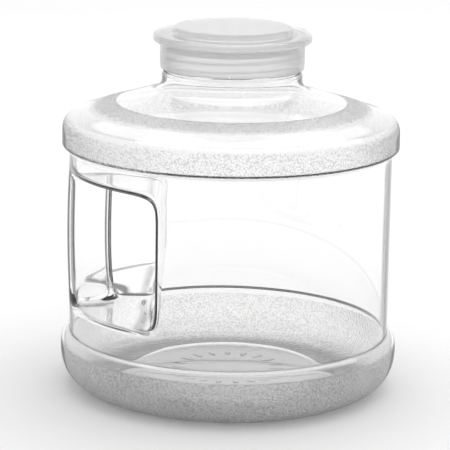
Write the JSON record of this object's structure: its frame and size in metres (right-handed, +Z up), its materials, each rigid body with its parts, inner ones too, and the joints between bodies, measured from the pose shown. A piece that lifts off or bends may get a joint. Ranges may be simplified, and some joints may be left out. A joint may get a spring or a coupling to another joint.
{
  "type": "water jug",
  "caption": "Large round clear water jug with a swollen base, hollow moulded side handle, conical shoulder, wide threaded neck and a soft translucent push-on cap.",
  "frame": {"origin": "centre of the base, on the surface that the jug stands on", "axes": "+Z up through the neck and cap, -X towards the handle, +Y towards the back"},
  "size_m": [0.232, 0.232, 0.2499],
  "materials": {
    "clear_shell": "clear blow-moulded polycarbonate, glossy, with fine stipple bands on the shoulder and base",
    "cap_plastic": "frosted translucent white soft plastic, satin"
  },
  "bodies": {
    "jug": {"base": "clear_shell", "barrel": "clear_shell", "grip": "clear_shell", "shoulder": "clear_shell", "neck": "clear_shell"},
    "cap": {"cap": "cap_plastic"}
  },
  "joints": [
    {"name": "cap_lift", "type": "slide", "parent": "jug", "child": "cap", "axis": [0, 0, 1], "range_m": [0, 0.06]}
  ]
}
